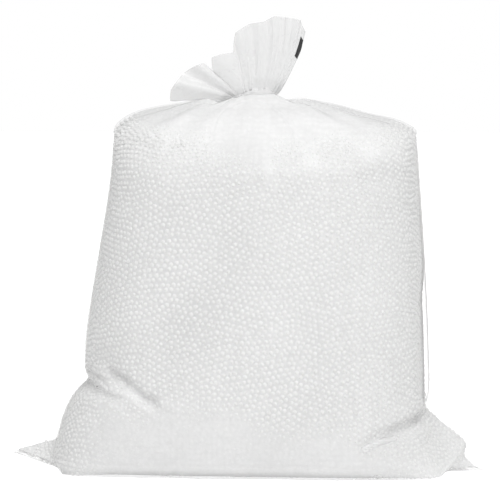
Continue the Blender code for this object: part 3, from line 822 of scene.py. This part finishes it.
probes = np.ix_(PROBE_ROWS, np.arange(0, FILM_COLUMNS, PROBE_STEP))
probe_inward = -smooth_normals[probes]
probe_starts = film_grid[probes] + PROBE_START * probe_inward
thickness = np.array([
    film_behind(start, inward)
    for start, inward in zip(probe_starts.reshape(-1, 3).tolist(), probe_inward.reshape(-1, 3).tolist())
]).reshape(probe_starts.shape[:2])


def thickness_at(row, column):
    """The probed thickness, read between the probes."""
    return on_grid(thickness, np.interp(row, PROBE_ROWS, np.arange(len(PROBE_ROWS))), column / PROBE_STEP)


# %% The surface that the bead middles stay on
BEAD_PITCH = 0.0063
BEAD_RADIUS = BEAD_PITCH / 2
FILM_CLEARANCE = 0.0004
SLACK_SPACE = 0.0016
LOOSE_SPACE = 0.0045
MOST_OF_THICKNESS = 0.45
LEAST_THICKNESS = 1.5 * BEAD_RADIUS
BEAD_RINGS = (0.35, 24.3)

all_rows, all_columns = np.meshgrid(np.arange(len(FILM_RINGS)), np.arange(FILM_COLUMNS), indexing="ij")
thickness_here = thickness_at(all_rows, all_columns)
loose = (1 - smooth_step(from_right_crease, 3.0, 6.0)) * between(z_of, 0.066, 0.085, 0.180, 0.230)
room = FILM_CLEARANCE + SLACK_SPACE * slack + LOOSE_SPACE * loose
bead_depth = np.minimum(BEAD_RADIUS + room, MOST_OF_THICKNESS * thickness_here)
bead_surface = film_grid - smooth_normals * bead_depth[..., None]
step_up = np.gradient(bead_surface, axis=0)
step_along = (np.roll(bead_surface, -1, axis=1) - np.roll(bead_surface, 1, axis=1)) / 2
patch_area = np.linalg.norm(np.cross(step_up, step_along), axis=-1)
patch_area[(ring_of < BEAD_RINGS[0]) | (ring_of > BEAD_RINGS[1])] = 0.0
patch_area[thickness_here < LEAST_THICKNESS] = 0.0

# %% Start the beads evenly by area
BEAD_SEED = 7
rng = np.random.default_rng(BEAD_SEED)
bead_count = int(patch_area.sum() / (BEAD_PITCH**2 * math.sqrt(3) / 2))
running_area = np.cumsum(patch_area.ravel())
marks = (np.arange(bead_count) + rng.uniform(0, 1, bead_count)) / bead_count * running_area[-1]
patch = np.searchsorted(running_area, marks)
bead_row = patch // FILM_COLUMNS + rng.uniform(-0.5, 0.5, bead_count)
bead_column = patch % FILM_COLUMNS + rng.uniform(-0.5, 0.5, bead_count)
print(f"{bead_count} beads over {patch_area.sum():.3f} m2")


# %% Which beads are close to each other
CUBES_ACROSS = 4096


def near_pairs(points, reach, most=6):
    """Pairs of points closer than reach. Points are sorted by the cube of that size that they lie
    in, and each is set against those in the 27 cubes round its own."""
    cube = np.floor((points - points.min(axis=0)) / reach).astype(np.int64) + 1
    key = (cube[:, 0] * CUBES_ACROSS + cube[:, 1]) * CUBES_ACROSS + cube[:, 2]
    order = np.argsort(key, kind="stable")
    sorted_key = key[order]
    own = np.arange(len(points))
    firsts, seconds = [], []
    for i, j, k in np.ndindex(3, 3, 3):
        wanted = key + ((i - 1) * CUBES_ACROSS + j - 1) * CUBES_ACROSS + k - 1
        low = np.searchsorted(sorted_key, wanted, "left")
        high = np.searchsorted(sorted_key, wanted, "right")
        for place in range(most):
            there = low + place < high
            other = order[np.minimum(low + place, len(order) - 1)]
            there &= other != own
            firsts.append(own[there])
            seconds.append(other[there])
    first, second = np.concatenate(firsts), np.concatenate(seconds)
    gap = points[first] - points[second]
    far = np.linalg.norm(gap, axis=1)
    near = far < reach
    return first[near], second[near], gap[near], far[near]


# %% Let them push each other apart
PUSH_REACH = 1.12 * BEAD_PITCH
PUSH_SHARE = 0.5
LONGEST_MOVE = 0.3 * BEAD_PITCH
MOST_ROWS, MOST_COLUMNS = 3, 6
SETTLE_ROUNDS = 70
lowest_row, highest_row = row_of(BEAD_RINGS[0]), row_of(BEAD_RINGS[1])
for _ in range(SETTLE_ROUNDS):
    points = on_grid(bead_surface, bead_row, bead_column)
    first, second, gap, far = near_pairs(points, PUSH_REACH)
    push = gap * ((1 - far / PUSH_REACH) / np.maximum(far, 1e-6))[:, None] * PUSH_SHARE * BEAD_PITCH
    move = np.zeros_like(points)
    for axis in range(3):
        move[:, axis] = np.bincount(first, push[:, axis], bead_count)
    move *= np.minimum(1.0, LONGEST_MOVE / np.maximum(np.linalg.norm(move, axis=1), 1e-9))[:, None]
    up, along = on_grid(step_up, bead_row, bead_column), on_grid(step_along, bead_row, bead_column)
    up_up, up_along, along_along = (up * up).sum(1), (up * along).sum(1), (along * along).sum(1)
    move_up, move_along = (up * move).sum(1), (along * move).sum(1)
    area = np.maximum(up_up * along_along - up_along**2, 1e-16)
    rows = np.clip((along_along * move_up - up_along * move_along) / area, -MOST_ROWS, MOST_ROWS)
    columns = np.clip((up_up * move_along - up_along * move_up) / area, -MOST_COLUMNS, MOST_COLUMNS)
    bead_row = np.clip(bead_row + rows, lowest_row, highest_row)
    bead_column = (bead_column + columns) % FILM_COLUMNS
print(f"settled in {SETTLE_ROUNDS} rounds")

# %% Size each bead by the room that it has, and set it against the film
LOOK_ROUND = 1.5 * BEAD_PITCH
SMALL_RADIUS, LARGE_RADIUS = 0.0022, 0.0033
LEAST_RADIUS = 0.0018
LEAST_GAP = 0.00012
LEAST_HEIGHT = 0.0005
CROWDED = 0.62 * BEAD_PITCH
settled = on_grid(bead_surface, bead_row, bead_column)
first, second, gap, far = near_pairs(settled, LOOK_ROUND, most=9)
nearest = np.full(bead_count, LOOK_ROUND)
np.minimum.at(nearest, first, far)
finest_tree = BVHTree.FromPolygons(film_points.reshape(-1, 3)[kept].tolist(), film_quads.tolist())
bead_radius = np.clip(0.5 * nearest * rng.uniform(0.98, 1.06, bead_count), SMALL_RADIUS, LARGE_RADIUS)
deep = bead_radius + on_grid(room, bead_row, bead_column)
deep = np.minimum(deep, MOST_OF_THICKNESS * thickness_at(bead_row, bead_column))
bead_middle = on_grid(film_grid, bead_row, bead_column)
bead_middle -= on_grid(smooth_normals, bead_row, bead_column) * deep[:, None]
film_place, film_normal = (np.array(found) for found in zip(*(
    [list(found) for found in finest_tree.find_nearest(at)[:2]] for at in bead_middle.tolist()
)))
film_gap = ((film_place - bead_middle) * film_normal).sum(axis=1)
bead_radius = np.minimum(bead_radius, film_gap - LEAST_GAP)
whole = (bead_radius > LEAST_RADIUS) & (bead_middle[:, 2] > LEAST_HEIGHT)
whole &= (nearest > CROWDED) | (np.arange(bead_count) % 2 == 0)
bead_middle, bead_radius = bead_middle[whole], bead_radius[whole]
print(f"{len(bead_middle)} beads kept, {2000 * np.median(bead_radius):.2f} mm across in the middle")

# %% [markdown]
# ## The beads
#
# There are thousands of beads and each is only a few pixels across, so a bead has 32 faces: an
# octahedron whose edges are halved and pushed out to a ball. Every bead is turned and stretched a
# little by chance, as expanded foam is never a true ball. The beads are kept in four pieces, by
# the side of the bag that they lie on, so that no piece grows too heavy.

# %% One bead
def halved_octahedron():
    """The 18 points and 32 faces of an octahedron with halved edges, all points one unit out."""
    points = [[1, 0, 0], [-1, 0, 0], [0, 1, 0], [0, -1, 0], [0, 0, 1], [0, 0, -1]]
    sides = [(0, 2, 4), (2, 1, 4), (1, 3, 4), (3, 0, 4), (2, 0, 5), (1, 2, 5), (3, 1, 5), (0, 3, 5)]
    halves = {}
    faces = []
    for side in sides:
        edges = [frozenset(edge) for edge in zip(side, side[1:] + side[:1])]
        for edge in edges:
            if edge not in halves:
                halves[edge] = len(points)
                points.append(np.array([points[tip] for tip in edge]).sum(axis=0) / math.sqrt(2))
        (a, b, c), (ab, bc, ca) = side, (halves[edge] for edge in edges)
        faces += [(a, ab, ca), (ab, b, bc), (ca, bc, c), (ab, bc, ca)]
    return np.array([list(point) for point in points], float), np.array(faces)


def chance_turns(count):
    """Turning matrices spread evenly over all directions, from unit four-vectors."""
    q = rng.normal(size=(count, 4))
    w, x, y, z = (q / np.linalg.norm(q, axis=1, keepdims=True)).T
    return np.stack([
        1 - 2 * (y * y + z * z), 2 * (x * y - z * w), 2 * (x * z + y * w),
        2 * (x * y + z * w), 1 - 2 * (x * x + z * z), 2 * (y * z - x * w),
        2 * (x * z - y * w), 2 * (y * z + x * w), 1 - 2 * (x * x + y * y),
    ], axis=-1).reshape(count, 3, 3)


# %% All the beads, in four pieces
EAR_PAINTED_LIGHT = 0.12
PAINTED_LIGHT_STEP = 3.0
SIDE_FROM = 0.115
BACK_FROM = -0.01
bead_points, bead_faces = halved_octahedron()
turns = chance_turns(len(bead_middle))
stretches = rng.uniform(0.93, 1.0, (len(bead_middle), 1, 3))
shaped = np.einsum("nij,nkj->nki", turns, bead_points[None] * stretches) * bead_radius[:, None, None]
placed = shaped + bead_middle[:, None, :]
tones_and_painted_light = rng.beta(4.0, 2.0, len(bead_middle))
# A bead's tone is a random white plus the painted light and painted shade of the whiteness value, with more
# painted light in the left ear.
painted_light_on_beads = whiteness_and_painted_light - WHITENESS_EVERYWHERE + EAR_PAINTED_LIGHT * in_left_ear
tones_and_painted_light += PAINTED_LIGHT_STEP * on_grid(painted_light_on_beads, bead_row[whole], bead_column[whole])
tones_and_painted_light = np.clip(tones_and_painted_light, 0.0, 1.0)
side_of = np.where(
    np.abs(bead_middle[:, 0]) > SIDE_FROM,
    np.where(bead_middle[:, 0] > 0, 2, 3),
    np.where(bead_middle[:, 1] < BACK_FROM, 0, 1),
)
bead_pieces = []
for side, name in enumerate(("beads_front", "beads_back", "beads_right", "beads_left")):
    mine = side_of == side
    count = int(mine.sum())
    faces = (bead_faces[None] + len(bead_points) * np.arange(count)[:, None, None]).reshape(-1, 3)
    piece = new_piece(name, placed[mine].reshape(-1, 3), faces)
    give(piece, "tone_and_painted_light", np.repeat(tones_and_painted_light[mine], len(bead_points)))
    bead_pieces.append(piece)
    print(f"{name}: {count} beads")

# %% [markdown]
# ## The core
#
# Behind the first layer are more beads, seen only as pale bumps through the gaps. A closed skin
# just inside the layer stands for them. It is the film's own loft, drawn inwards, and its material
# gives it the bumps, with painted shade between them. The deeper it lies, the darker the gaps
# between the beads are. Where beads and film look like one smooth white surface, it comes up close
# under the beads' tops.

# %% The core's mesh
DOME = 0.0018
DOME_FADED = 0.0005
DOME_SIDES = 0.0014
DOME_LEFT = 0.0014
DOME_EARS = 0.0010
CORE_OF_THICKNESS = 0.40
CORE_RINGS = ring_steps((0.5, 3, 9), (3, 10, 32), (10, 20, 33), (20, 26.8, 39))
core_rows = np.unique(np.round(row_of(CORE_RINGS)).astype(int))
core_columns = np.arange(0, FILM_COLUMNS, 2)
core_part = np.ix_(core_rows, core_columns)
core_depth = room + DOME + (DOME_FADED - DOME) * faded
side_depth = DOME_SIDES + DOME_LEFT * smooth_step(-x_of, 0.02, 0.06)
core_depth += side_depth * on_shoulder * (1 - mid_shoulder) * (1 - at_rim)
core_depth += DOME_EARS * in_left_ear
core_depth = np.minimum(core_depth, CORE_OF_THICKNESS * thickness_here)[core_part]
core_grid = film_grid[core_part] - smooth_normals[core_part] * core_depth[..., None]


def capped_tube(grid):
    """The faces of a grid that closes in its columns, with a strip of faces across its first and
    its last ring from the front half to the back half, turned so that they look outwards."""
    rings, columns = grid.shape[:2]
    index = np.arange(rings * columns).reshape(rings, columns)
    faces = quads_between(index).tolist()
    for ring, flip in ((index[0], False), (index[-1], True)):
        for step in range(columns // 2):
            front, front_next = ring[step], ring[step + 1]
            back, back_next = ring[-step % columns], ring[-(step + 1) % columns]
            corners = [front, front_next, back_next, back]
            corners = [int(at) for number, at in enumerate(corners) if at not in corners[:number]]
            faces.append(corners[::-1] if flip else corners)
    return faces


core = new_piece("bead_core", core_grid.reshape(-1, 3), capped_tube(core_grid), uniform=False)
give(core, "whiteness_and_painted_light", whiteness_and_painted_light[core_part].ravel())
print(f"core: {len(core.data.polygons)} faces")

# %% [markdown]
# ## The finishes
#
# Clear film is hardly seen by itself: it is seen by what it reflects, and by the milky look that
# it takes where it is creased, doubled or hangs loose. So its material is mostly see-through, with
# a strong gloss, and the haze value of each point makes it more milky. Its colour is the whiteness
# value, with its painted light and painted shade. Foam beads are matt white, each a slightly
# different white and lighter or darker by the same painted light and shade, with a fine grain of cells.

# %% Node helpers
def feed(tree, node, inputs):
    """Feeds a node's inputs from sockets or with plain values."""
    for name, value in inputs.items():
        if isinstance(value, bpy.types.NodeSocket):
            tree.links.new(value, node.inputs[name])
        else:
            node.inputs[name].default_value = value


def add_node(tree, kind, inputs, **settings):
    """Adds a node, sets its settings and feeds its inputs."""
    node = tree.nodes.new(f"ShaderNode{kind}")
    for name, value in settings.items():
        setattr(node, name, value)
    feed(tree, node, inputs)
    return node


def new_finish(name):
    """A material, its node tree and the place on the object in metres."""
    finish = bpy.data.materials.new(name)
    finish.use_nodes = True
    tree = finish.node_tree
    return finish, tree, add_node(tree, "TexCoord", {}).outputs["Object"]


def shade(tree, inputs):
    """Feeds the material's Principled shader."""
    feed(tree, tree.nodes["Principled BSDF"], inputs)


def point_value(tree, name):
    """The number that the points carry under that name."""
    return add_node(tree, "Attribute", {}, attribute_name=name).outputs["Fac"]


def noise(tree, place, scale, detail, **more):
    """A noise texture's value, mostly from 0.3 to 0.7, with that many bumps a metre."""
    inputs = {"Vector": place, "Scale": scale, "Detail": detail, **more}
    return add_node(tree, "TexNoise", inputs).outputs["Fac"]


def cell_distance(tree, place, scale, randomness=1.0):
    """How far each place is from the middle of its cell, with that many cells a metre."""
    inputs = {"Vector": place, "Scale": scale, "Randomness": randomness}
    return add_node(tree, "TexVoronoi", inputs).outputs["Distance"]


def from_to(tree, value, low, high, to_low, to_high):
    """The value stretched so that low becomes to_low and high becomes to_high, and clamped there."""
    inputs = {"Value": value, "From Min": low, "From Max": high, "To Min": to_low, "To Max": to_high}
    return add_node(tree, "MapRange", inputs).outputs["Result"]


def combined(tree, operation, first, second, clamped=False):
    """Two values added or multiplied."""
    node = add_node(tree, "Math", {0: first, 1: second}, operation=operation, use_clamp=clamped)
    return node.outputs["Value"]


def colour_between(tree, value, dark, light):
    """A colour between two, by a value from 0 to 1."""
    inputs = {"Factor": value, "A": (*dark, 1.0), "B": (*light, 1.0)}
    return add_node(tree, "Mix", inputs, data_type="RGBA").outputs["Result"]


def bumped(tree, height, strength, distance):
    """The normal of a surface that is raised by the height times the distance."""
    inputs = {"Height": height, "Strength": strength, "Distance": distance}
    return add_node(tree, "Bump", inputs).outputs["Normal"]


# %% Foam beads
FOAM_CELLS = 1700.0
foam, tree, place = new_finish("foam_bead")
cells = cell_distance(tree, place, FOAM_CELLS)
shade(tree, {
    "Base Color": colour_between(tree, point_value(tree, "tone_and_painted_light"), (0.88, 0.88, 0.875), (0.96, 0.96, 0.957)),
    "Roughness": from_to(tree, cells, 0.0, 0.8, 0.50, 0.66),
    "Normal": bumped(tree, cells, 0.25, 0.0002),
    "Specular IOR Level": 0.35,
})
for piece in bead_pieces:
    dress(piece, foam, "foam_beads", "bead_fill")

# %% The core's finish
core_foam, tree, place = new_finish("foam_core")
domes = from_to(tree, cell_distance(tree, place, 1 / BEAD_PITCH, 0.55), 0.0, 0.75, 1.0, 0.0)
# Painted shade: the core's colour is darker away from each dome, in the gaps between the beads, and it also
# carries the whiteness value's painted light and shade.
domes_painted_shade = from_to(tree, domes, 0.0, 1.0, 0.93, 1.01)
shade(tree, {
    "Base Color": combined(tree, "MULTIPLY", point_value(tree, "whiteness_and_painted_light"), domes_painted_shade),
    "Roughness": 0.62,
    "Normal": bumped(tree, domes, 0.6, 0.0005),
    "Specular IOR Level": 0.3,
})
dress(core, core_foam, "foam_beads", "bead_fill")

# %% Clear film
FILM_MILK = 0.11
FILM_MILK_MOST = 0.85
EDGE_MILK = 0.70
clear, tree, place = new_finish("clear_film")
smear = noise(tree, place, 38.0, 4.0, Roughness=0.6)
milk = combined(
    tree, "ADD", from_to(tree, point_value(tree, "haze"), 0.0, 1.0, FILM_MILK, FILM_MILK_MOST),
    from_to(tree, smear, 0.3, 0.7, -0.02, 0.02), clamped=True,
)
facing_away = add_node(tree, "LayerWeight", {"Blend": 0.25}).outputs["Facing"]
edge_milk = from_to(tree, facing_away, 0.62, 1.0, 0.0, EDGE_MILK)
bead_prints = from_to(tree, cell_distance(tree, place, 1 / BEAD_PITCH, 0.6), 0.0, 0.8, 0.5, 0.0)
wrinkles = noise(tree, place, 120.0, 3.0, Roughness=0.55, Distortion=0.4)
# The film's colour is the whiteness value, with its painted light and painted shade.
shade(tree, {
    "Base Color": point_value(tree, "whiteness_and_painted_light"),
    "Alpha": combined(tree, "ADD", milk, edge_milk, clamped=True),
    "Roughness": from_to(tree, smear, 0.3, 0.7, 0.24, 0.38),
    "Normal": bumped(tree, combined(tree, "ADD", bead_prints, wrinkles), 0.4, 0.0006),
    "Specular IOR Level": 0.8,
})
dress(film, clear, "clear_film", "film_bag")

# %% Neck tie
tie_finish, tree, place = new_finish("pale_tie")
grain = noise(tree, place, 600.0, 3.0)
shade(tree, {
    "Base Color": colour_between(tree, grain, (0.84, 0.84, 0.83), (0.92, 0.92, 0.91)),
    "Roughness": from_to(tree, grain, 0.3, 0.7, 0.35, 0.5),
    "Normal": bumped(tree, grain, 0.2, 0.0002),
})
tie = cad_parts["neck_tie"]
tie.data.materials.clear()
tie.data.materials.append(tie_finish)
print("tie finished")

# %% [markdown]
# ## The mark at the tail's edge
#
# Film of this kind carries a small plain dark bar along one edge. It is ink, so it has no
# thickness of its own: a small grid that follows the film a hair's breadth outside it.

# %% A plain dark bar
MARK_RINGS = (30.75, 32.25)
MARK_COLUMNS = (0.30, 1.55)
MARK_LIFT = 0.00025
MARK_STEPS_UP, MARK_STEPS_ALONG = 22, 12
mark_rows = row_of(np.linspace(*MARK_RINGS, MARK_STEPS_UP))
mark_columns = np.linspace(*MARK_COLUMNS, MARK_STEPS_ALONG) * FILM_COLUMNS / COLUMNS
mark_row, mark_column = np.meshgrid(mark_rows, mark_columns, indexing="ij")
mark_points = on_grid(film_points, mark_row, mark_column)
mark_points += MARK_LIFT * on_grid(smooth_normals, mark_row, mark_column)
mark_quads = quads_between(np.arange(mark_row.size).reshape(mark_row.shape), closed=False)
mark = new_piece("edge_mark", mark_points.reshape(-1, 3), mark_quads)
ink, tree, place = new_finish("dark_ink")
speck = noise(tree, place, 900.0, 2.0)
shade(tree, {
    "Base Color": colour_between(tree, speck, (0.010, 0.010, 0.011), (0.030, 0.030, 0.032)),
    "Roughness": from_to(tree, speck, 0.3, 0.7, 0.35, 0.55),
})
dress(mark, ink, "clear_film", "film_bag")

# %% [markdown]
# ## Floor, light and camera
#
# The bag stands on a plain white floor in soft studio light: a white room all round, and one wide
# soft light in front and above, a little to the right, which leaves the left side greyest. The
# camera stands a little to the right and a little above, far back with a long lens.

# %% Floor
FLOOR_GLOW = 0.90
FLOOR_BOUNCE = 0.20
FLOOR_LEVEL = -0.0003
WHITE = (1.0, 1.0, 1.0, 1.0)
floor_corners = np.array([(x, y, FLOOR_LEVEL) for x, y in ((-9, -6), (9, -6), (9, 14), (-9, 14))])
floor = new_piece("studio_floor", floor_corners, np.array([(0, 1, 2, 3)]))
paper, tree, _ = new_finish("white_paper")
looked_at = add_node(tree, "LightPath", {}).outputs["Is Camera Ray"]
shade(tree, {
    "Base Color": (0.92, 0.92, 0.92, 1.0),
    "Roughness": 0.9,
    "Specular IOR Level": 0.1,
    "Emission Color": WHITE,
    "Emission Strength": from_to(tree, looked_at, 0.0, 1.0, FLOOR_BOUNCE, FLOOR_GLOW),
})
floor.data.materials.append(paper)

# %% White room
ROOM_SEEN = 1.0
ROOM_LEFT = 0.28
ROOM_RIGHT = 0.32
ROOM_TOP = 0.40
world = bpy.data.worlds.new("white_room")
bpy.context.scene.world = world
world.use_nodes = True
tree = world.node_tree
looked_at = add_node(tree, "LightPath", {}).outputs["Is Camera Ray"]
direction = add_node(tree, "TexCoord", {}).outputs["Generated"]
split = add_node(tree, "SeparateXYZ", {"Vector": direction}).outputs
room_light = combined(
    tree, "ADD", from_to(tree, split["X"], -1.0, 1.0, ROOM_LEFT, ROOM_RIGHT),
    from_to(tree, split["Z"], 0.0, 1.0, 0.0, ROOM_TOP),
)
feed(tree, tree.nodes["Background"], {
    "Color": WHITE, "Strength": from_to(tree, looked_at, 0.0, 1.0, room_light, ROOM_SEEN),
})


# %% Soft light
def set_up(data, place, target):
    """Puts a light or a camera at its place, so that it faces its target."""
    item = bpy.data.objects.new(data.name, data)
    bpy.context.scene.collection.objects.link(item)
    item.location = place
    item.rotation_euler = (target - place).to_track_quat("-Z", "Y").to_euler()
    return item


KEY_PLACE = Vector((0.5, -2.1, 2.7))
KEY_TARGET = Vector((0.0, 0.0, 0.25))
key = bpy.data.lights.new("key", "AREA")
key.shape = "DISK"
key.size = 2.2
key.energy = 47.5
set_up(key, KEY_PLACE, KEY_TARGET)

# %% Camera
TARGET = Vector((0.0, 0.0, 0.22))
TURN = math.radians(6.0)
RISE = math.radians(4.0)
DISTANCE = 3.4
away = Vector((math.sin(TURN) * math.cos(RISE), -math.cos(TURN) * math.cos(RISE), math.sin(RISE)))
lens = bpy.data.cameras.new("camera")
lens.lens = 222.5
lens.sensor_width = 36.0
lens.sensor_fit = "HORIZONTAL"
lens.shift_x = 0.0014
lens.shift_y = 0.036
bpy.context.scene.camera = set_up(lens, TARGET + DISTANCE * away, TARGET)
bpy.context.scene.view_settings.view_transform = "Standard"
